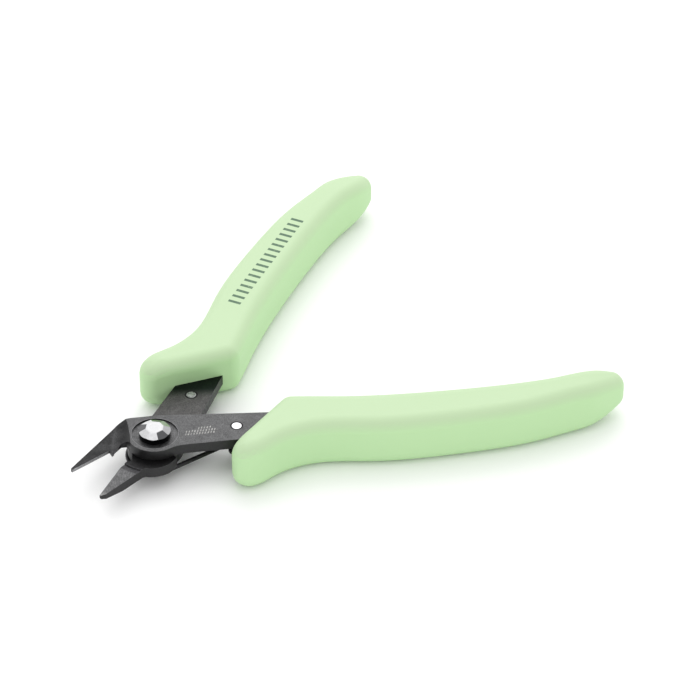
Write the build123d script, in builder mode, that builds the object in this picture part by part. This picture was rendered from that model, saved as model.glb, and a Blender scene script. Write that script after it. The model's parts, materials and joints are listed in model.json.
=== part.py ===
from build123d import *
from math import acos, atan2, cos, degrees, radians, sin, sqrt, tan
import os

# Sprue nippers: two lapped steel halves on a pivot bolt, with a wire return spring and moulded grips.
#
# The tool lies flat and open. +X points from the handles to the jaws, +Z is up, and the origin is the
# centre of the footprint. Each half is drawn in its own flat frame: u runs along its handle from the
# pivot, v runs outward, away from the other handle.

# ---- driving dimensions, millimetres and degrees ----
PIVOT_X = 36.99             # pivot axis ahead of the footprint's centre
OPEN_ANGLE = 28.65          # each handle line from the tool's axis, at rest
BLANK_T = 2.5               # sheet thickness of a half
LAP_GAP = 0.06              # clearance between the two lapped blanks
GRIP_T = 12.2               # grip thickness
GRIP_EDGE_R = 3.0           # rounding of the grip's long edges
GRIP_NOSE_R = 3.1           # plan radius of the flared nose and of the inner front corner
GRIP_TIP_R = 3.05           # plan radius of the rear tip
GRIP_TAPER_AT = 92.0        # top and bottom curve in behind this distance from the pivot
GRIP_TAPER_R = 30.0
GRIP_REACH = 106.0          # past the rear tip
GRIP_NOSE_AT = 20.5         # top and bottom curve in ahead of this distance, over the nose
GRIP_NOSE_DROP_R = 6.0
GRIP_NOSE_REACH = 15.0      # ahead of the nose
TANG_FIT = 0.02             # grip pocket round the tang
HEAD_R = 6.1                # round head of each half
ARM_V = 4.65                # outer edge of the arm
NECK_R = 8.0                # where the arm leaves the head

# ---- pivot ----
BORE_R = 2.55               # bore in the upper half
SHOULDER_R = 2.50           # bolt shoulder that turns in it
RECESS_R = 5.1              # round recess for the bolt head
RECESS_DEPTH = 0.4
BOLT_HEAD_R = 3.5
BOLT_HEAD_H = 2.15          # recess floor to the flat top
BOLT_TOP_R = 1.85
BOLT_FACETS = 8
FACET_TURN = 22.5
FACET_SLOPE = 62.0          # facets from the vertical
THREAD_R = 1.75             # bolt end in the lower half and the nut
THREAD_END = 0.3            # bolt end below the nut
THREAD_CHAMFER = 0.24
NUT_R = 3.3
NUT_H = 1.2

# ---- spring and its studs ----
STUD_AT = 18.0              # stud centres from the pivot
STUD_R = 1.25
STUD_FOOT_R = 1.95
STUD_FOOT_H = 0.5
STUD_CHAMFER = 0.15
WIRE_R = 0.5
WIRE_BEND_R = 6.15          # bend round the pivot, to the wire's centre
WIRE_DROP = 3.35            # wire's centre below the lap plane
WIRE_STUD_GAP = 0.05        # wire to the side of a stud
HOOK_TURN = 205.0           # how far each hook goes round its stud
FOOT_GAP = 0.08             # wire to the stud foot under it

# ---- jaws ----
SHEAR_DROP = 0.3            # cutting plane below the lap plane
STEP_R = 9.5                # outside this radius the lower jaw is stepped down to the cutting plane
STEP_CLEAR = 0.15           # the upper jaw's matching step starts this much further out
EDGE_LAND = 0.8             # height of the ground land along each cutting edge
UPPER_BEVEL = 14.0          # back of each blade, rising away from its edge
LOWER_BEVEL = 28.0
WHEEL_R = 5.0               # run-out of the bevel at the root
CUTTER_LENGTH = 16.0        # the ground-off space reaches past the jaw's tip
CUTTER_HALF_WIDTH = 14.0
UPPER_EDGE = (148.5, 3.75)  # cutting edge's direction and its distance from the pivot
LOWER_EDGE = (180.0, -3.25)
UPPER_ROOT = 9.9            # where the bevel ends, along the edge from the pivot's foot on it
LOWER_ROOT = 10.2
UPPER_BREAK = (0.2, -0.98)  # line on which the bevel ends
LOWER_BREAK = (0.7, -0.7)

LAP_Z = GRIP_T / 2
UPPER = 1
LOWER = -1


def half_plane(side, lift=0.0):
    """Flat frame of a half on the lap plane; its normal points at the other half."""
    along = (-cos(radians(OPEN_ANGLE)), side * sin(radians(OPEN_ANGLE)), 0)
    return Plane(origin=(PIVOT_X, 0, LAP_Z - side * lift), x_dir=along, z_dir=(0, 0, -side))


def local_point(side, u, v, z=0.0):
    """Row-frame point of (u, v) in a half's frame, z above the table."""
    flat = half_plane(side).from_local_coords(Vector(u, v, 0))
    return Vector(flat.X, flat.Y, z)


def head_and_tang():
    """Round head, tapering arm, and the tang that the grip covers."""
    with BuildSketch() as flat:
        Circle(HEAD_R)
        with BuildLine():
            Polyline((0, ARM_V), (26, ARM_V), (58, 6.0), (84, 4.3))
            ThreePointArc((84, 4.3), (86, 2.45), (84, 0.6))
            Polyline((84, 0.6), (58, -0.4), (30, -3.1), (0.6, -6.07), (0, 0), (0, ARM_V))
        make_face()
        neck = flat.vertices().sort_by_distance((4.0, ARM_V))[0]
        fillet(neck, NECK_R)
    return flat.sketch


def upper_jaw():
    """Pointed jaw of the upper half, with its relief notch and heel."""
    with BuildSketch() as flat:
        with BuildLine():
            FilletPolyline((0, -6.05), (-6.7, -6.05), (-19.07, 6.78), radius=5.0)
            Polyline((-19.07, 6.78), (-18.8, 7.1), (-10.25, 1.88), (-9.75, 3.2), (-7.5, 0.8))
            Polyline((-7.5, 0.8), (-6.4, 0.8), (-5.6, 2.0), (0, 0), (0, -6.05))
        make_face()
    return flat.sketch


def lower_jaw():
    """Blunter jaw of the lower half, with the round shoulder behind it."""
    with BuildSketch() as flat:
        with BuildLine():
            Polyline((0, 0), (-2.35, -5.6), (-2.5, -6.5))
            ThreePointArc((-2.5, -6.5), (-6.9, -4.95), (-8.6, -2.0))
            Polyline((-8.6, -2.0), (-9.3, -1.4), (-19.5, 2.15), (-20.45, 2.9), (-20.4, 3.25))
            Polyline((-20.4, 3.25), (-10.3, 3.25), (-8.3, 2.75), (-7.5, 1.9), (-4.0, 3.6), (0, 0))
        make_face()
    return flat.sketch


def bevel_cutter(side, edge, slope, root, break_line):
    """What the wheel takes off a blade's back: a sloping flat, run out to a round at the root.

    The flat holds the edge line, rises inward at the slope, and ends on the break line.
    """
    edge_angle, edge_offset = edge
    along = Vector(cos(radians(edge_angle)), sin(radians(edge_angle)), 0)
    inward = Vector(-along.Y, along.X, 0)
    ending = Vector(*break_line).normalized()
    rise = -ending.dot(inward) * tan(radians(slope))
    ridge = Vector(ending.X, ending.Y, rise).normalized()
    normal = ridge.cross(along).normalized()
    if normal.Z > 0:
        normal = normal * -1
    start = inward * edge_offset + along * root + Vector(0, 0, side * SHEAR_DROP - EDGE_LAND)
    frame = half_plane(side)
    corner = frame.from_local_coords(start)
    outward = frame.from_local_coords(start + normal) - corner
    away = outward.cross(frame.from_local_coords(start + ridge) - corner)
    if away.dot(frame.from_local_coords(start + along) - corner) < 0:
        away = away * -1
    with BuildPart() as cutter:
        with BuildSketch(Plane(origin=corner, x_dir=away, z_dir=away.cross(outward))):
            with BuildLine():
                Polyline((0, 0), (CUTTER_LENGTH, 0), (CUTTER_LENGTH, WHEEL_R), (-WHEEL_R, WHEEL_R))
                RadiusArc((-WHEEL_R, WHEEL_R), (0, 0), -WHEEL_R)
            make_face()
        extrude(amount=CUTTER_HALF_WIDTH, both=True)
    return cutter.part


def grip_outline():
    """Plan of a grip: flared nose, slanted front face, long gentle bow, round rear tip."""
    nose = Vector(18.8, 9.7)
    tip = Vector(101.9, -3.1)
    face_angle = -133.4
    flare_angle = 78.5
    tip_angle = 55.4

    def around(middle, radius, angle):
        return middle + Vector(cos(radians(angle)), sin(radians(angle))) * radius

    nose_start = around(nose, GRIP_NOSE_R, face_angle)
    nose_end = around(nose, GRIP_NOSE_R, flare_angle)
    tip_start = around(tip, GRIP_TIP_R, tip_angle)
    tip_end = around(tip, GRIP_TIP_R, -90)
    corner = Vector(29.4, -6.0)
    with BuildSketch() as flat:
        with BuildLine():
            ThreePointArc(nose_start, around(nose, GRIP_NOSE_R, 150), nose_end)
            Spline(nose_end, (26.0, 9.4), (34.0, 6.95), (47.0, 8.1), (60.0, 8.6), (72.0, 8.1),
                   (85.0, 6.4), (93.0, 4.35), tip_start, tangents=[(0.98, -0.2), (0.823, -0.568)])
            ThreePointArc(tip_start, around(tip, GRIP_TIP_R, -20), tip_end)
            Spline(tip_end, (93.0, -4.5), (80.0, -3.0), (66.0, -2.85), (54.0, -3.2), (42.0, -4.25),
                   corner, tangents=[(-1.0, 0.0), (-1.0, -0.1)])
            Line(corner, nose_start)
        make_face()
        fillet(flat.vertices().sort_by_distance(corner)[0], GRIP_NOSE_R)
    return flat.sketch


def grip_side_view():
    """Side view of a grip, u across and z up: level, curving in over the nose and the rear tip."""
    half = GRIP_T / 2

    def curved_in(radius, length):
        return half - radius + sqrt(radius**2 - length**2)

    rear = curved_in(GRIP_TAPER_R, GRIP_REACH - GRIP_TAPER_AT)
    front = curved_in(GRIP_NOSE_DROP_R, GRIP_NOSE_AT - GRIP_NOSE_REACH)
    with BuildSketch() as flat:
        with BuildLine():
            RadiusArc((GRIP_NOSE_REACH, front), (GRIP_NOSE_AT, half), GRIP_NOSE_DROP_R)
            Line((GRIP_NOSE_AT, half), (GRIP_TAPER_AT, half))
            RadiusArc((GRIP_TAPER_AT, half), (GRIP_REACH, rear), GRIP_TAPER_R)
            Line((GRIP_REACH, rear), (GRIP_REACH, -rear))
            RadiusArc((GRIP_REACH, -rear), (GRIP_TAPER_AT, -half), GRIP_TAPER_R)
            Line((GRIP_TAPER_AT, -half), (GRIP_NOSE_AT, -half))
            RadiusArc((GRIP_NOSE_AT, -half), (GRIP_NOSE_REACH, -front), GRIP_NOSE_DROP_R)
            Line((GRIP_NOSE_REACH, -front), (GRIP_NOSE_REACH, front))
        make_face()
    return flat.sketch


def spring_path():
    """Wire centre line in the row frame: hook, leg, bend round the pivot, leg, hook."""
    reach = STUD_R + WIRE_R + WIRE_STUD_GAP
    lean = OPEN_ANGLE + degrees(acos((WIRE_BEND_R + reach) / STUD_AT)) - 90
    level = LAP_Z - WIRE_DROP
    stud = local_point(UPPER, STUD_AT, 0, level)
    normal = Vector(sin(radians(lean)), cos(radians(lean)), 0)
    at_bend = Vector(PIVOT_X, 0, level) + normal * WIRE_BEND_R
    at_stud = stud - normal * reach

    def on_hook(turn):
        heading = atan2(-normal.Y, -normal.X) - radians(turn)
        return stud + Vector(cos(heading), sin(heading), 0) * reach

    def mirrored(point):
        return Vector(point.X, -point.Y, point.Z)

    hook_middle = on_hook(HOOK_TURN / 2)
    hook_end = on_hook(HOOK_TURN)
    with BuildLine() as path:
        ThreePointArc(hook_end, hook_middle, at_stud)
        Line(at_stud, at_bend)
        ThreePointArc(at_bend, (PIVOT_X + WIRE_BEND_R, 0, level), mirrored(at_bend))
        Line(mirrored(at_bend), mirrored(at_stud))
        ThreePointArc(mirrored(at_stud), mirrored(hook_middle), mirrored(hook_end))
    return path


os.makedirs("parts", exist_ok=True)
body_plan = head_and_tang()
tang_pocket = offset(body_plan, amount=TANG_FIT, mode=Mode.PRIVATE)
grip_plan = grip_outline()

# ---- upper half: bored and recessed for the bolt ----
jaw_plan = upper_jaw()
ground_off = bevel_cutter(UPPER, UPPER_EDGE, UPPER_BEVEL, UPPER_ROOT, UPPER_BREAK)
with BuildPart() as upper_blade:
    with BuildSketch(half_plane(UPPER, -LAP_GAP / 2)):
        add(body_plan)
        add(jaw_plan)
    extrude(amount=-BLANK_T)
    with BuildSketch(half_plane(UPPER, -LAP_GAP / 2)):
        add(jaw_plan)
        Circle(STEP_R + STEP_CLEAR, mode=Mode.SUBTRACT)
    extrude(amount=SHEAR_DROP)
    add(ground_off, mode=Mode.SUBTRACT)
    with BuildSketch(half_plane(UPPER)):
        Circle(BORE_R)
        with Locations((STUD_AT, 0)):
            Circle(STUD_R)
    extrude(amount=-2 * BLANK_T, mode=Mode.SUBTRACT)
    with BuildSketch(half_plane(UPPER, -LAP_GAP / 2 - BLANK_T + RECESS_DEPTH)):
        Circle(RECESS_R)
    extrude(amount=-BLANK_T, mode=Mode.SUBTRACT)
upper_blade.part.label = "upper_blade"
export_step(upper_blade.part, "parts/upper_blade.step")

# ---- lower half: threaded for the bolt, its jaw stepped down to the cutting plane ----
jaw_plan = lower_jaw()
ground_off = bevel_cutter(LOWER, LOWER_EDGE, LOWER_BEVEL, LOWER_ROOT, LOWER_BREAK)
with BuildPart() as lower_blade:
    with BuildSketch(half_plane(LOWER, -LAP_GAP / 2)):
        add(body_plan)
        add(jaw_plan)
    extrude(amount=-BLANK_T)
    with BuildSketch(half_plane(LOWER, -LAP_GAP / 2)):
        Circle(3 * STEP_R)
        Circle(STEP_R, mode=Mode.SUBTRACT)
        with Locations((2 * STEP_R, 0)):
            Rectangle(4 * STEP_R, 8 * STEP_R, mode=Mode.SUBTRACT)
    extrude(amount=-SHEAR_DROP, mode=Mode.SUBTRACT)
    add(ground_off, mode=Mode.SUBTRACT)
    with BuildSketch(half_plane(LOWER)):
        Circle(THREAD_R)
        with Locations((STUD_AT, 0)):
            Circle(STUD_R)
    extrude(amount=-2 * BLANK_T, mode=Mode.SUBTRACT)
lower_blade.part.label = "lower_blade"
export_step(lower_blade.part, "parts/lower_blade.step")

# ---- pivot bolt: faceted head, shoulder in the upper half, thread in the lower half ----
lap_face = LAP_Z - LAP_GAP / 2
head_base = LAP_Z + LAP_GAP / 2 + BLANK_T - RECESS_DEPTH + LAP_GAP
with BuildPart() as facets:
    with BuildSketch(Plane(origin=(PIVOT_X, 0, head_base + BOLT_HEAD_H))):
        RegularPolygon(BOLT_TOP_R, BOLT_FACETS, major_radius=False, rotation=FACET_TURN)
    extrude(amount=-BOLT_HEAD_H, taper=-FACET_SLOPE)
with BuildPart() as pivot_bolt:
    with BuildSketch(Plane(origin=(PIVOT_X, 0, head_base))):
        Circle(BOLT_HEAD_R)
    extrude(amount=BOLT_HEAD_H)
    add(facets.part, mode=Mode.INTERSECT)
    with BuildSketch(Plane(origin=(PIVOT_X, 0, head_base))):
        Circle(SHOULDER_R)
    extrude(amount=lap_face - head_base)
    with BuildSketch(Plane(origin=(PIVOT_X, 0, lap_face))):
        Circle(THREAD_R)
    extrude(amount=-BLANK_T - NUT_H - THREAD_END)
    chamfer(pivot_bolt.faces().sort_by(Axis.Z)[0].edges(), THREAD_CHAMFER)
pivot_bolt.part.label = "pivot_bolt"
export_step(pivot_bolt.part, "parts/pivot_bolt.step")

with BuildPart() as pivot_nut:
    with BuildSketch(Plane(origin=(PIVOT_X, 0, lap_face - BLANK_T))):
        RegularPolygon(NUT_R, 6, major_radius=False)
        Circle(THREAD_R, mode=Mode.SUBTRACT)
    extrude(amount=-NUT_H)
pivot_nut.part.label = "pivot_nut"
export_step(pivot_nut.part, "parts/pivot_nut.step")

# ---- return spring and the two studs that hold it ----
wire = spring_path().wire()
with BuildPart() as return_spring:
    with BuildSketch(Plane(origin=wire @ 0, z_dir=wire % 0)):
        Circle(WIRE_R)
    sweep(path=wire)
return_spring.part.label = "return_spring"
export_step(return_spring.part, "parts/return_spring.step")

stud_tops = {UPPER: LAP_Z + LAP_GAP / 2 + BLANK_T, LOWER: lap_face}
foot_top = LAP_Z - WIRE_DROP - WIRE_R - FOOT_GAP
for side, name in ((UPPER, "upper_spring_stud"), (LOWER, "lower_spring_stud")):
    with BuildPart() as stud:
        with BuildSketch(Plane(origin=local_point(side, STUD_AT, 0, foot_top))):
            Circle(STUD_R)
        extrude(amount=stud_tops[side] - foot_top)
        with BuildSketch(Plane(origin=local_point(side, STUD_AT, 0, foot_top))):
            Circle(STUD_FOOT_R)
        extrude(amount=-STUD_FOOT_H)
        chamfer(stud.faces().sort_by(Axis.Z)[-1].edges(), STUD_CHAMFER)
    stud.part.label = name
    export_step(stud.part, f"parts/{name}.step")

# ---- grips: moulded sleeves on the tangs ----
side_view = grip_side_view()
for side, name in ((UPPER, "upper_grip"), (LOWER, "lower_grip")):
    flat = half_plane(side)
    upright = Plane(origin=flat.origin, x_dir=flat.x_dir, z_dir=flat.y_dir)
    with BuildPart() as grip:
        with BuildSketch(flat):
            add(grip_plan)
        extrude(amount=GRIP_T / 2, both=True)
        with BuildSketch(upright):
            add(side_view)
        extrude(amount=GRIP_REACH, both=True, mode=Mode.INTERSECT)
        walls = grip.faces().filter_by(lambda face: abs(face.normal_at().Z) < 0.1)
        fillet(walls.edges().filter_by(Axis.Z, reverse=True), GRIP_EDGE_R)
        with BuildSketch(half_plane(side, -LAP_GAP / 2 + TANG_FIT)):
            add(tang_pocket)
        extrude(amount=-BLANK_T - 2 * TANG_FIT, mode=Mode.SUBTRACT)
    grip.part.label = name
    export_step(grip.part, f"parts/{name}.step")
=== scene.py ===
import json
from math import acos, atan2, cos, pi, radians, sin

import bmesh
import bpy
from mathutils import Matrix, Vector


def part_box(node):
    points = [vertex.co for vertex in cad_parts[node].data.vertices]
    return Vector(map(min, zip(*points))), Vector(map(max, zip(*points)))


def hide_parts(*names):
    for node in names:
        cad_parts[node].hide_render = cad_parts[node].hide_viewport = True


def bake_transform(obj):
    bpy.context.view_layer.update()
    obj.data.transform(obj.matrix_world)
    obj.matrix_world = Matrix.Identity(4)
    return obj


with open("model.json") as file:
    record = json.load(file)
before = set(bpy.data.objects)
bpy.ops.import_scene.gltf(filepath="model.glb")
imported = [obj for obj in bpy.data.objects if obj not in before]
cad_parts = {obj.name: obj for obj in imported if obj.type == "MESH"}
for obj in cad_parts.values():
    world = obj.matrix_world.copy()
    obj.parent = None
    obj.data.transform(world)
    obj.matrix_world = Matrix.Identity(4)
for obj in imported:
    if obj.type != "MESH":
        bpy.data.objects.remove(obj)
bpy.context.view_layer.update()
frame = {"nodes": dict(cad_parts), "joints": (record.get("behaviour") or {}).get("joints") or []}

MM = 0.001

# ---- the places that everything else is worked out from ----
PIVOT = Vector(frame["joints"][0]["pos_m"])
UPPER = 1                     # the half whose handle lies towards +Y
LOWER = -1
UP = (0, 0, 1)


def centre(node):
    """Middle of a CAD node's box."""
    low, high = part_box(node)
    return (low + high) / 2


STUDS = {UPPER: centre("upper_spring_stud"), LOWER: centre("lower_spring_stud")}
STUD_AXIS = STUDS[UPPER] - PIVOT
OPEN = atan2(STUD_AXIS.y, -STUD_AXIS.x)       # each handle line from the tool's axis


def half_axes(side):
    """Unit vectors of a half's own frame: u along its handle, v outward from the other handle."""
    along = Vector((-cos(OPEN), side * sin(OPEN), 0))
    outward = Vector((sin(OPEN), side * cos(OPEN), 0))
    return along, outward


def world_direction(side, u, v):
    """Row-frame direction of (u, v) in a half's frame."""
    along, outward = half_axes(side)
    return (along * u + outward * v).normalized()


# ---- camera: a long lens above the tool, ahead of its jaws and on the upper handle's side ----
CAMERA_FROM_PIVOT = Vector((0.3699, 0.5586, 0.5635))
CAMERA_LOOK = Vector((-0.4707, -0.6211, -0.6266))
LENS_MM = 205.7
SENSOR_MM = 36.0

# ---- floor and light ----
FLOOR_HALF = 3.0
LIGHT_AIM = Vector((0, 0, 0.01))
SKY = 1.03
SOFTBOX_SIZE = 1.1
BACK_POWER = 5.0
OVERHEAD_POWER = 2.6

# ---- spring ----
STUD_R = 1.25 * MM
WIRE_STUD_GAP = 0.05 * MM     # wire to the side of a stud
HOOK_TURN = 205.0             # degrees that each hook goes round its stud
HOOK_STEPS = 26
LEG_STEPS = 20
BEND_STEPS = 20               # from the end of a leg to the middle of the bend
WIRE_SIDES = 20

# ---- where the finishes and the painted light and shade change: u and v are a half's own directions, radii are from the pivot ----
RIM_AT = 5.1 * MM             # edge of the bolt's recess
RING_END = 6.0 * MM           # turned rings round the bolt stop here
RING_PITCH = 0.42 * MM
ARM_FADE = (2.0 * MM, 9.0 * MM)               # the upper arm turns slightly lighter, along u
UPPER_GROUND_SHADE = (-4.0 * MM, -5.0 * MM)         # the upper jaw's ground bevel, painted darker as shade of its tilted face, fades in, along u
UPPER_EDGE_AT = (-7.9 * MM, -8.3 * MM)        # the bright cutting edge fades in, along u
LAND_FACING = (0.5225, 0.8526)                # u and v of the cutting edge's own face
TOOTH_FACING = (0.74, 0.70)                   # u and v of the tooth's face
HEAD_R = 6.1 * MM             # painted shade on the lower head between this radius and the step, under the upper head
HEAD_SHADE = (3.5 * MM, 1.5 * MM)             # that painted shade fades in, along u
STEP_AT = 9.5 * MM            # the lower jaw is ground flat beyond this radius
AHEAD = (0.0, -1.0 * MM)                      # the lower jaw's finish fades in, along u
WHEEL_CENTRE = PIVOT + Vector((4.0, 11.0, 0)) * MM      # middle of the grinding arcs on that jaw
WHEEL_PITCH = 0.55 * MM
LOWER_TIP = (-18.6 * MM, -20.2 * MM)          # the lower jaw's tip brightens, along u
GRIP_REFLECTION_SLOPE = (0.91, 0.415)   # the lower arm darkens along this mix of u and v, a painted reflection of the grip
GRIP_REFLECTION_SPAN = (15.8 * MM, 18.4 * MM)
HOLE_RING = 0.13 * MM         # width of the dark line round a stud's hole

# ---- plain marks in place of the lettering ----
HATCH_ROWS = ((9.6, 12.6, -0.75), (6.6, 13.6, 0.15), (6.6, 13.2, 1.05))     # u from, u to, v, in mm
HATCH_HEIGHT = 0.55           # in mm, like the rows
HATCH_PITCH = 0.62 * MM
HATCH_LEAN = 0.35
TICK_PITCH = 2.1 * MM
TICK_SPAN = (43.4 * MM, 80.2 * MM)
TICK_ROW = (0.6 * MM, 3.6 * MM)
INK = (0.060, 0.135, 0.070, 1)

# ---- bolt and studs ----
# Each facet with a painted dark reflection: the way it faces, in degrees from +X, and how far it is
# darkened.
BOLT_FACET_REFLECTIONS = ((315.0, 0.85), (90.0, 0.92), (45.0, 0.25), (135.0, 0.30), (225.0, 0.35))
FACET_OUT = 0.469             # outward part of a facet's unit normal
FACET_UP = 0.883              # and its upward part
BOLT_DISH = (1.25 * MM, 1.4 * MM)             # a faint turned ring on the bolt's flat top
LATHE_PITCH = 0.16 * MM       # fine rings on the bolt and nut
STUD_NODES = {UPPER: "upper_spring_stud", LOWER: "lower_spring_stud"}
STUD_GREYS = {UPPER: (0.72, 0.62), LOWER: (0.34, 0.15)}


def make_camera():
    data = bpy.data.cameras.new("camera")
    data.lens = LENS_MM
    data.sensor_width = SENSOR_MM
    data.clip_start = 0.01
    data.clip_end = 20.0
    camera = bpy.data.objects.new("camera", data)
    camera.location = PIVOT + CAMERA_FROM_PIVOT
    camera.rotation_mode = "QUATERNION"
    camera.rotation_quaternion = CAMERA_LOOK.to_track_quat("-Z", "Y")
    bpy.context.scene.collection.objects.link(camera)
    bpy.context.scene.camera = camera


# ---- floor and light ----
def make_floor():
    half = FLOOR_HALF
    corners = [(-half, -half, 0), (half, -half, 0), (half, half, 0), (-half, half, 0)]
    mesh = bpy.data.meshes.new("floor")
    mesh.from_pydata(corners, [], [(0, 1, 2, 3)])
    floor = bpy.data.objects.new("floor", mesh)
    bpy.context.scene.collection.objects.link(floor)
    floor.data.materials.append(floor_paint())


def softbox(name, toward, distance, power):
    """A soft square light that faces the object from a direction."""
    data = bpy.data.lights.new(name, "AREA")
    data.shape = "SQUARE"
    data.size = SOFTBOX_SIZE
    data.energy = power
    light = bpy.data.objects.new(name, data)
    light.location = LIGHT_AIM + Vector(toward).normalized() * distance
    light.rotation_mode = "QUATERNION"
    light.rotation_quaternion = (LIGHT_AIM - light.location).to_track_quat("-Z", "Y")
    bpy.context.scene.collection.objects.link(light)


def make_light():
    world = bpy.data.worlds.new("studio")
    world.use_nodes = True
    sky = world.node_tree.nodes["Background"]
    sky.inputs["Color"].default_value = (1.0, 1.0, 1.0, 1.0)
    sky.inputs["Strength"].default_value = SKY
    bpy.context.scene.world = world
    softbox("back_softbox", toward=(-0.55, -0.75, 0.80), distance=1.3, power=BACK_POWER)
    softbox("overhead_softbox", toward=(-0.10, -0.25, 1.0), distance=1.4, power=OVERHEAD_POWER)


# ---- node helpers ----
class Shader:
    """A new node material with a Principled shader and a few short ways to add nodes."""

    def __init__(self, name):
        self.material = bpy.data.materials.new(name)
        self.material.use_nodes = True
        self.tree = self.material.node_tree
        self.surface = self.tree.nodes["Principled BSDF"]
        self.place = self.tree.nodes.new("ShaderNodeTexCoord").outputs["Object"]

    def set(self, **sockets):
        """Set plain values on the shader's own sockets, spaces written as underscores."""
        for name, value in sockets.items():
            self.surface.inputs[name.replace("_", " ")].default_value = value

    def feed(self, socket, output):
        self.tree.links.new(output, self.surface.inputs[socket])

    def node(self, kind, inputs=(), **settings):
        """Add a node; inputs are (socket, value or output) pairs."""
        made = self.tree.nodes.new(kind)
        for name, value in settings.items():
            setattr(made, name, value)
        for socket, value in inputs:
            if isinstance(value, bpy.types.NodeSocket):
                self.tree.links.new(value, made.inputs[socket])
            else:
                made.inputs[socket].default_value = value
        return made

    def math(self, operation, first, second=0.0, third=0.0, clamp=False):
        """One sum on one to three values; third is used by MULTIPLY_ADD alone."""
        made = self.node("ShaderNodeMath", [(0, first), (1, second), (2, third)], operation=operation)
        made.use_clamp = clamp
        return made.outputs[0]

    def noise(self, scale, detail=2.0, roughness=0.5, where=None):
        pairs = [("Vector", where or self.place), ("Scale", scale), ("Detail", detail),
                 ("Roughness", roughness)]
        return self.node("ShaderNodeTexNoise", pairs).outputs["Fac"]

    def remap(self, value, low, high, to_low=0.0, to_high=1.0):
        """Value from low..high to to_low..to_high, held at the ends; low may be above high."""
        pairs = [(0, value), (1, low), (2, high), (3, to_low), (4, to_high)]
        made = self.node("ShaderNodeMapRange", pairs)
        made.clamp = True
        return made.outputs[0]

    def mix(self, share, first, second):
        """Colour that goes from first to second; the numbers are the Mix node's colour sockets."""
        made = self.node("ShaderNodeMix", data_type="RGBA")
        for socket, value in ((made.inputs[0], share), (made.inputs[6], first), (made.inputs[7], second)):
            if isinstance(value, bpy.types.NodeSocket):
                self.tree.links.new(value, socket)
            else:
                socket.default_value = value
        return made.outputs[2]

    def stretched_from(self, u, v, factor):
        """Coordinates squeezed along u, for grain that runs along a half."""
        made = self.node("ShaderNodeCombineXYZ", [(0, self.math("DIVIDE", u, factor)), (1, v)])
        return made.outputs[0]

    def bump(self, height, distance, strength=1.0, under=None):
        pairs = [("Height", height), ("Distance", distance), ("Strength", strength)]
        if under is not None:
            pairs.append(("Normal", under))
        return self.node("ShaderNodeBump", pairs).outputs["Normal"]

    def axes(self):
        """X, Y and Z of the place, as three outputs."""
        return self.node("ShaderNodeSeparateXYZ", [(0, self.place)]).outputs

    def along(self, direction, origin):
        """Distance along a direction from an origin."""
        shift = self.node("ShaderNodeVectorMath", [(0, self.place), (1, origin)], operation="SUBTRACT")
        dot = self.node("ShaderNodeVectorMath", [(0, shift.outputs[0]), (1, direction)],
                        operation="DOT_PRODUCT")
        return dot.outputs["Value"]

    def radius(self, middle):
        """Distance from the upright axis through a point."""
        shift = self.node("ShaderNodeVectorMath", [(0, self.place), (1, middle)], operation="SUBTRACT")
        flat = self.node("ShaderNodeVectorMath", [(0, shift.outputs[0]), (1, (1, 1, 0))],
                         operation="MULTIPLY")
        length = self.node("ShaderNodeVectorMath", [(0, flat.outputs[0])], operation="LENGTH")
        return length.outputs["Value"]

    def facing(self, direction):
        """How far a face looks in a direction, from -1 to 1, in the node's own frame."""
        world = self.node("ShaderNodeNewGeometry").outputs["True Normal"]
        own = self.node("ShaderNodeVectorTransform", [(0, world)], vector_type="NORMAL",
                        convert_from="WORLD", convert_to="OBJECT")
        dot = self.node("ShaderNodeVectorMath", [(0, own.outputs[0]), (1, direction)],
                        operation="DOT_PRODUCT")
        return dot.outputs["Value"]

    def band(self, value, low, high, soft):
        """1 between low and high, fading to 0 over soft at both ends."""
        rise = self.remap(value, low - soft, low)
        fall = self.remap(value, high, high + soft, 1.0, 0.0)
        return self.math("MULTIPLY", rise, fall)

    def rounded(self, radius):
        """The surface normal with sharp edges eased over a radius."""
        return self.node("ShaderNodeBevel", [("Radius", radius)], samples=6).outputs[0]

    def edge_wear(self, radius):
        """1 on the metal within about radius of a sharp edge, 0 elsewhere."""
        flat = self.node("ShaderNodeNewGeometry").outputs["True Normal"]
        dot = self.node("ShaderNodeVectorMath", [(0, self.rounded(radius)), (1, flat)],
                        operation="DOT_PRODUCT")
        return self.remap(dot.outputs["Value"], 0.985, 0.86)

    def grey(self, share, first, second):
        """Mix of two plain grey levels."""
        return self.mix(share, (first, first, first * 1.02, 1), (second, second, second * 1.02, 1))


def floor_paint():
    """Matt, nearly white, with a faint unevenness."""
    s = Shader("floor_paint")
    s.set(Base_Color=(0.93, 0.93, 0.93, 1), Roughness=0.7)
    s.feed("Normal", s.bump(s.noise(40.0), 0.0002, 0.1))
    return s.material


def grip_plastic(side):
    """Soft matt vinyl, with a painted greener bounce light on its walls; the lower grip carries a row of
    plain printed ticks.
    """
    s = Shader("grip_plastic")
    tint = s.noise(70.0, 3.0)
    green = s.mix(tint, (0.470, 0.626, 0.380, 1), (0.488, 0.644, 0.396, 1))
    # painted bounce light: the walls are tinted a greener green than the top
    walls = s.remap(s.facing(UP), 0.15, 0.75, 1.0, 0.0)
    green = s.mix(s.math("MULTIPLY", walls, 0.9), green, (0.486, 0.728, 0.388, 1))
    if side == LOWER:
        green = s.mix(tick_print(s), green, INK)
    s.feed("Base Color", green)
    s.feed("Roughness", s.remap(s.noise(2600.0, 3.0), 0.3, 0.7, 0.44, 0.56))
    s.feed("Normal", s.bump(s.noise(5200.0, 2.0), 0.00002, 0.3))
    return s.material


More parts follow.
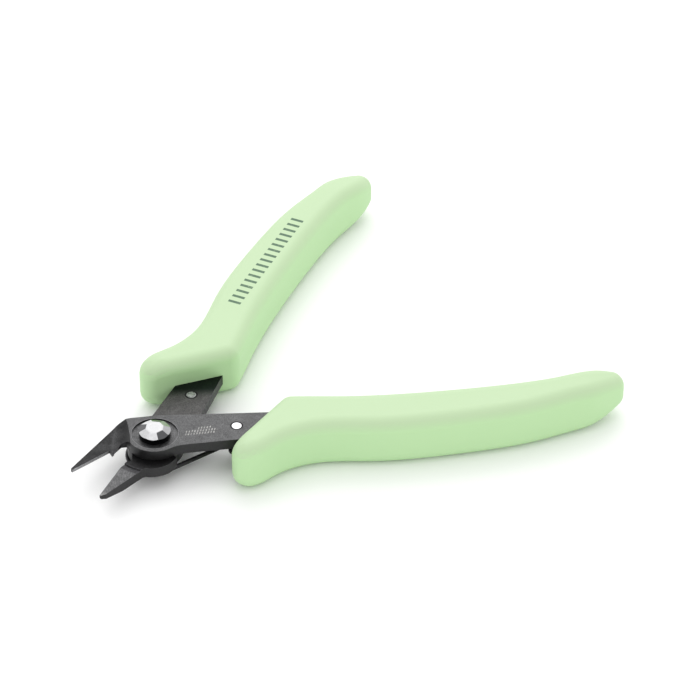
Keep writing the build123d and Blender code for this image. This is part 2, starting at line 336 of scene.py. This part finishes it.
def tick_print(s):
    """Ink share of the tick row: a stroke every TICK_PITCH, on the level top only."""
    along, outward = half_axes(LOWER)
    u = s.along(along, PIVOT)
    v = s.along(outward, PIVOT)
    turn = s.math("FRACT", s.math("DIVIDE", u, TICK_PITCH))
    stroke = s.band(turn, 0.28, 0.62, 0.04)
    row = s.band(v, *TICK_ROW, 0.05 * MM)
    length = s.band(u, *TICK_SPAN, 0.05 * MM)
    top = s.remap(s.facing(UP), 0.90, 0.95)
    worn = s.remap(s.noise(1400.0, 3.0), 0.30, 0.42, 0.75, 1.0)
    return s.math("MULTIPLY", s.math("MULTIPLY", s.math("MULTIPLY", stroke, row), length),
                  s.math("MULTIPLY", top, worn))


def hole_ring(s, side, color):
    """A dark line on the steel round the stud's hole."""
    ring = s.band(s.radius(STUDS[side]), STUD_R, STUD_R + HOLE_RING, 0.06 * MM)
    return s.mix(s.math("MULTIPLY", ring, 0.9), color, (0.006, 0.006, 0.007, 1))


def steel_grain(s, base, dark_walls):
    """Common steel finish: speckle, worn edges, dark sheared walls, eased edges."""
    speckle = s.noise(4200.0, 3.0, 0.7)
    blotch = s.noise(420.0, 4.0, 0.6)
    fine = s.math("MULTIPLY", s.remap(speckle, 0.30, 0.72, 0.50, 1.62),
                  s.remap(blotch, 0.25, 0.75, 0.82, 1.18))
    scaled = s.node("ShaderNodeVectorMath", [(0, base), (3, fine)], operation="SCALE").outputs[0]
    wall = s.remap(s.math("ABSOLUTE", s.facing(UP)), 0.55, 0.75, 1.0, 0.0)
    wall = s.math("MULTIPLY", wall, dark_walls)
    body = s.mix(wall, scaled, s.grey(speckle, 0.030, 0.062))
    worn = s.math("MULTIPLY", s.edge_wear(0.11 * MM), s.remap(s.noise(900.0, 4.0), 0.38, 0.66))
    s.feed("Base Color", s.mix(s.math("MULTIPLY", worn, 0.55), body, (0.26, 0.26, 0.27, 1)))
    s.feed("Roughness", s.remap(s.noise(1500.0, 3.0), 0.3, 0.7, 0.36, 0.50))
    s.feed("Normal", s.bump(speckle, 0.00001, 0.5, s.rounded(0.09 * MM)))


def upper_steel():
    """Upper half: satin arm, turned rings round the bolt with a painted highlight on the recess edge, and
    a ground jaw painted dark as shade of its tilted bevel, with a bright land.
    """
    s = Shader("upper_steel")
    s.set(Metallic=0.9)
    along, outward = half_axes(UPPER)
    u = s.along(along, PIVOT)
    v = s.along(outward, PIVOT)
    radius = s.radius(PIVOT)
    level = s.facing(UP)
    tone = s.remap(u, *ARM_FADE, 0.076, 0.080)
    rings = s.math("SINE", s.math("MULTIPLY", radius, 2 * pi / RING_PITCH))
    near_bolt = s.remap(radius, RING_END - 0.3 * MM, RING_END, 1.0, 0.0)
    ringed = s.math("MULTIPLY_ADD", s.math("MULTIPLY", rings, near_bolt), 0.010, tone)
    # painted highlight: a light thin line round the recess edge
    rim = s.band(radius, RIM_AT - 0.06 * MM, RIM_AT + 0.10 * MM, 0.05 * MM)
    color = s.grey(ringed, 0.0, 1.0)
    color = s.mix(s.math("MULTIPLY", rim, 0.6), color, (0.17, 0.17, 0.175, 1))
    # painted shade: the jaw's tilted ground bevel is darkened, with grinding streaks along u
    ground = s.math("MULTIPLY", s.remap(level, 0.992, 0.980), s.remap(u, *UPPER_GROUND_SHADE))
    streak = s.noise(520.0, 3.0, where=s.stretched_from(u, v, 6.0))
    color = s.mix(ground, color, s.grey(s.remap(streak, 0.3, 0.7), 0.022, 0.044))
    etched = s.math("MULTIPLY", etched_lines(s, u, v), s.remap(level, 0.98, 0.99))
    color = s.mix(etched, color, (0.30, 0.295, 0.285, 1))
    edge = s.remap(s.facing(world_direction(UPPER, *LAND_FACING)), 0.85, 0.93)
    tooth = s.remap(s.facing(world_direction(UPPER, *TOOTH_FACING)), 0.55, 0.7)
    jaw = s.remap(u, *UPPER_EDGE_AT)
    land = s.math("MULTIPLY", s.math("MAXIMUM", edge, s.math("MULTIPLY", tooth, 0.8)), jaw)
    color = s.mix(land, color, s.grey(s.noise(1600.0, 3.0), 0.24, 0.46))
    color = hole_ring(s, UPPER, color)
    steel_grain(s, color, s.math("SUBTRACT", 1.0, land))
    return s.material


def etched_lines(s, u, v):
    """Three faint rows of plain hatch strokes on the arm, in place of any lettering."""
    share = 0.0
    for start, end, level in HATCH_ROWS:
        row = s.band(v, level * MM, (level + HATCH_HEIGHT) * MM, 0.08 * MM)
        span = s.band(u, start * MM, end * MM, 0.1 * MM)
        slant = s.math("ADD", u, s.math("MULTIPLY", v, HATCH_LEAN))
        stroke = s.band(s.math("FRACT", s.math("DIVIDE", slant, HATCH_PITCH)), 0.25, 0.6, 0.1)
        share = s.math("ADD", share, s.math("MULTIPLY", s.math("MULTIPLY", row, span), stroke))
    patchy = s.remap(s.noise(2300.0, 3.0), 0.35, 0.6, 0.3, 1.0)
    return s.math("MULTIPLY", share, patchy, clamp=True)


def lower_steel():
    """Lower half: satin arm darkened towards the grip by a painted reflection of the grip, painted shade
    on the ledge under the upper head, and a pale ground jaw.
    """
    s = Shader("lower_steel")
    s.set(Metallic=0.9)
    along, outward = half_axes(LOWER)
    u = s.along(along, PIVOT)
    v = s.along(outward, PIVOT)
    radius = s.radius(PIVOT)
    level = s.facing(UP)
    # painted reflection of the green grip: the arm darkens towards the grip
    slope_u, slope_v = GRIP_REFLECTION_SLOPE
    rise = s.math("ADD", s.math("MULTIPLY", u, slope_u), s.math("MULTIPLY", v, slope_v))
    grip_reflection = s.remap(rise, *GRIP_REFLECTION_SPAN)
    color = s.mix(grip_reflection, (0.062, 0.060, 0.060, 1), (0.008, 0.013, 0.011, 1))
    # painted shade on the ledge under the upper head
    ledge_shade = s.math("MULTIPLY", s.band(radius, HEAD_R, STEP_AT, 0.3 * MM), s.remap(u, *HEAD_SHADE))
    color = s.mix(s.math("MULTIPLY", ledge_shade, 0.85), color, (0.010, 0.010, 0.011, 1))
    ahead = s.remap(u, *AHEAD)
    step = s.math("MULTIPLY", s.remap(radius, STEP_AT - 0.1 * MM, STEP_AT + 0.2 * MM), ahead)
    arcs = s.math("SINE", s.math("MULTIPLY", s.radius(WHEEL_CENTRE), 2 * pi / WHEEL_PITCH))
    scratch = s.math("ADD", s.noise(1300.0, 4.0, 0.7), s.math("MULTIPLY", arcs, 0.07))
    ground = s.grey(s.remap(scratch, 0.30, 0.70), 0.058, 0.108)
    color = s.mix(step, color, ground)
    # painted shade: a dark band on the ground run-out just past the step
    runout_shade = s.math("MULTIPLY", s.band(radius, STEP_AT + 0.1 * MM, STEP_AT + 1.1 * MM, 0.5 * MM), ahead)
    color = s.mix(s.math("MULTIPLY", runout_shade, 0.75), color, (0.030, 0.029, 0.032, 1))
    tip = s.math("MULTIPLY", s.remap(u, *LOWER_TIP), s.remap(level, 0.8, 0.9))
    color = s.mix(s.math("MULTIPLY", tip, 0.6), color, (0.20, 0.20, 0.195, 1))
    color = hole_ring(s, LOWER, color)
    steel_grain(s, color, 1.0)
    return s.material


def bright_steel():
    """Polished bolt and nut; five of the bolt's eight facets carry painted dark reflections, its flat top
    a painted darker reflection, and its wall is painted black as a dark reflection.
    """
    s = Shader("bright_steel")
    s.set(Metallic=1.0)
    radius = s.radius(PIVOT)
    level = s.facing(UP)
    color = s.grey(s.noise(1500.0, 3.0), 0.56, 0.72)
    # painted reflection: the flat top is darkened
    color = s.mix(s.math("MULTIPLY", s.remap(level, 0.97, 0.99), 0.75), color, (0.30, 0.30, 0.305, 1))
    # painted reflections: five facets are darkened
    for angle, depth in BOLT_FACET_REFLECTIONS:
        turn = radians(angle)
        facet = s.facing((cos(turn) * FACET_OUT, sin(turn) * FACET_OUT, FACET_UP))
        share = s.math("MULTIPLY", s.remap(facet, 0.975, 0.985), depth)
        color = s.mix(share, color, (0.055, 0.056, 0.060, 1))
    dish = s.math("MULTIPLY", s.band(radius, *BOLT_DISH, 0.08 * MM), 0.35)
    color = s.mix(dish, color, (0.45, 0.45, 0.45, 1))
    # painted reflection: the upright walls are black
    color = s.mix(s.remap(level, 0.45, 0.35), color, (0.022, 0.022, 0.025, 1))
    s.feed("Base Color", color)
    s.feed("Roughness", s.remap(s.noise(1800.0, 3.0), 0.3, 0.7, 0.12, 0.24))
    rings = s.math("SINE", s.math("MULTIPLY", radius, 2 * pi / LATHE_PITCH))
    s.feed("Normal", s.bump(rings, 0.000004, 0.2, s.rounded(0.05 * MM)))
    return s.material


def stud_steel(side):
    """Peened stud: bright pitted end, black rim, shank and foot."""
    s = Shader("stud_steel")
    s.set(Metallic=1.0)
    level = s.facing(UP)
    pits = s.remap(s.noise(2100.0, 3.0, 0.6), 0.42, 0.62)
    face = s.grey(pits, *STUD_GREYS[side])
    high = s.axes()[2]
    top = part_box(STUD_NODES[side])[1].z
    buried = s.remap(high, top - 0.1 * MM, top - 0.05 * MM, 1.0, 0.0)
    color = s.mix(buried, face, (0.018, 0.018, 0.02, 1))
    rim = s.remap(s.radius(STUDS[side]), STUD_R - 0.22 * MM, STUD_R - 0.14 * MM)
    shaded = s.math("MAXIMUM", rim, s.remap(level, 0.95, 0.85))
    s.feed("Base Color", s.mix(shaded, color, (0.010, 0.010, 0.012, 1)))
    s.feed("Roughness", s.remap(s.noise(1800.0, 3.0), 0.3, 0.7, 0.25, 0.4))
    s.feed("Normal", s.bump(s.noise(2500.0, 3.0), 0.00001, 0.3))
    return s.material


def spring_wire():
    """Oil-blackened wire."""
    s = Shader("spring_wire")
    s.set(Metallic=0.9)
    s.feed("Base Color", s.mix(s.noise(900.0, 3.0), (0.02, 0.02, 0.022, 1), (0.05, 0.05, 0.052, 1)))
    s.feed("Roughness", s.remap(s.noise(2000.0, 2.0), 0.3, 0.7, 0.28, 0.42))
    s.feed("Normal", s.bump(s.noise(3000.0, 2.0), 0.00001, 0.3))
    return s.material


# ---- the spring ----
def make_spring():
    """The wire: hook, leg, bend round the pivot, leg, hook, as one swept tube."""
    low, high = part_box("return_spring")
    radius = (high.z - low.z) / 2
    level = (high.z + low.z) / 2
    bend = high.x - radius - PIVOT.x
    reach = STUD_R + WIRE_STUD_GAP + radius
    distance = STUD_AXIS.to_2d().length
    lean = OPEN + acos((bend + reach) / distance) - pi / 2
    normal = Vector((sin(lean), cos(lean), 0))
    stud = Vector((STUDS[UPPER].x, STUDS[UPPER].y, level))
    pivot = Vector((PIVOT.x, PIVOT.y, level))
    points = []
    hook = radians(HOOK_TURN)
    back = atan2(-normal.y, -normal.x)
    for i in range(HOOK_STEPS):
        turn = back - hook * (1 - i / HOOK_STEPS)
        points.append(stud + Vector((cos(turn), sin(turn), 0)) * reach)
    start, end = stud - normal * reach, pivot + normal * bend
    for i in range(LEG_STEPS):
        points.append(start.lerp(end, i / LEG_STEPS))
    arc = atan2(normal.y, normal.x)
    for i in range(2 * BEND_STEPS + 1):
        turn = arc * (1 - i / BEND_STEPS)
        points.append(pivot + Vector((cos(turn), sin(turn), 0)) * bend)
    mirrored = [Vector((p.x, -p.y, p.z)) for p in reversed(points[:HOOK_STEPS + LEG_STEPS])]
    wire = tube("spring_wire_form", points + mirrored, radius)
    wire.data.materials.append(spring_wire())
    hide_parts("return_spring")
    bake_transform(wire)


def tube(name, points, radius):
    """A closed round tube through points that lie in one level plane."""
    mesh = bpy.data.meshes.new(name)
    form = bmesh.new()
    rings = []
    count = len(points)
    for i, point in enumerate(points):
        ahead = points[min(i + 1, count - 1)] - points[max(i - 1, 0)]
        side = Vector((-ahead.y, ahead.x, 0)).normalized()
        ring = []
        for k in range(WIRE_SIDES):
            turn = 2 * pi * k / WIRE_SIDES
            rise = Vector((0, 0, sin(turn) * radius))
            ring.append(form.verts.new(point + side * cos(turn) * radius + rise))
        rings.append(ring)
    for first, second in zip(rings, rings[1:]):
        for k in range(WIRE_SIDES):
            n = (k + 1) % WIRE_SIDES
            form.faces.new((first[k], first[n], second[n], second[k]))
    form.faces.new(list(reversed(rings[0])))
    form.faces.new(rings[-1])
    bmesh.ops.recalc_face_normals(form, faces=form.faces)
    form.to_mesh(mesh)
    form.free()
    for face in mesh.polygons:
        face.use_smooth = len(face.vertices) == 4
    piece = bpy.data.objects.new(name, mesh)
    bpy.context.scene.collection.objects.link(piece)
    return piece


def dress(node, material):
    """Give a CAD node its material in every slot."""
    data = frame["nodes"][node].data
    if not data.materials:
        data.materials.append(material)
    for i in range(len(data.materials)):
        data.materials[i] = material


bpy.context.scene.view_settings.view_transform = "Standard"
make_camera()
make_floor()
make_light()
dress("upper_grip", grip_plastic(UPPER))
dress("lower_grip", grip_plastic(LOWER))
dress("upper_blade", upper_steel())
dress("lower_blade", lower_steel())
bright = bright_steel()
dress("pivot_bolt", bright)
dress("pivot_nut", bright)
dress("upper_spring_stud", stud_steel(UPPER))
dress("lower_spring_stud", stud_steel(LOWER))
make_spring()
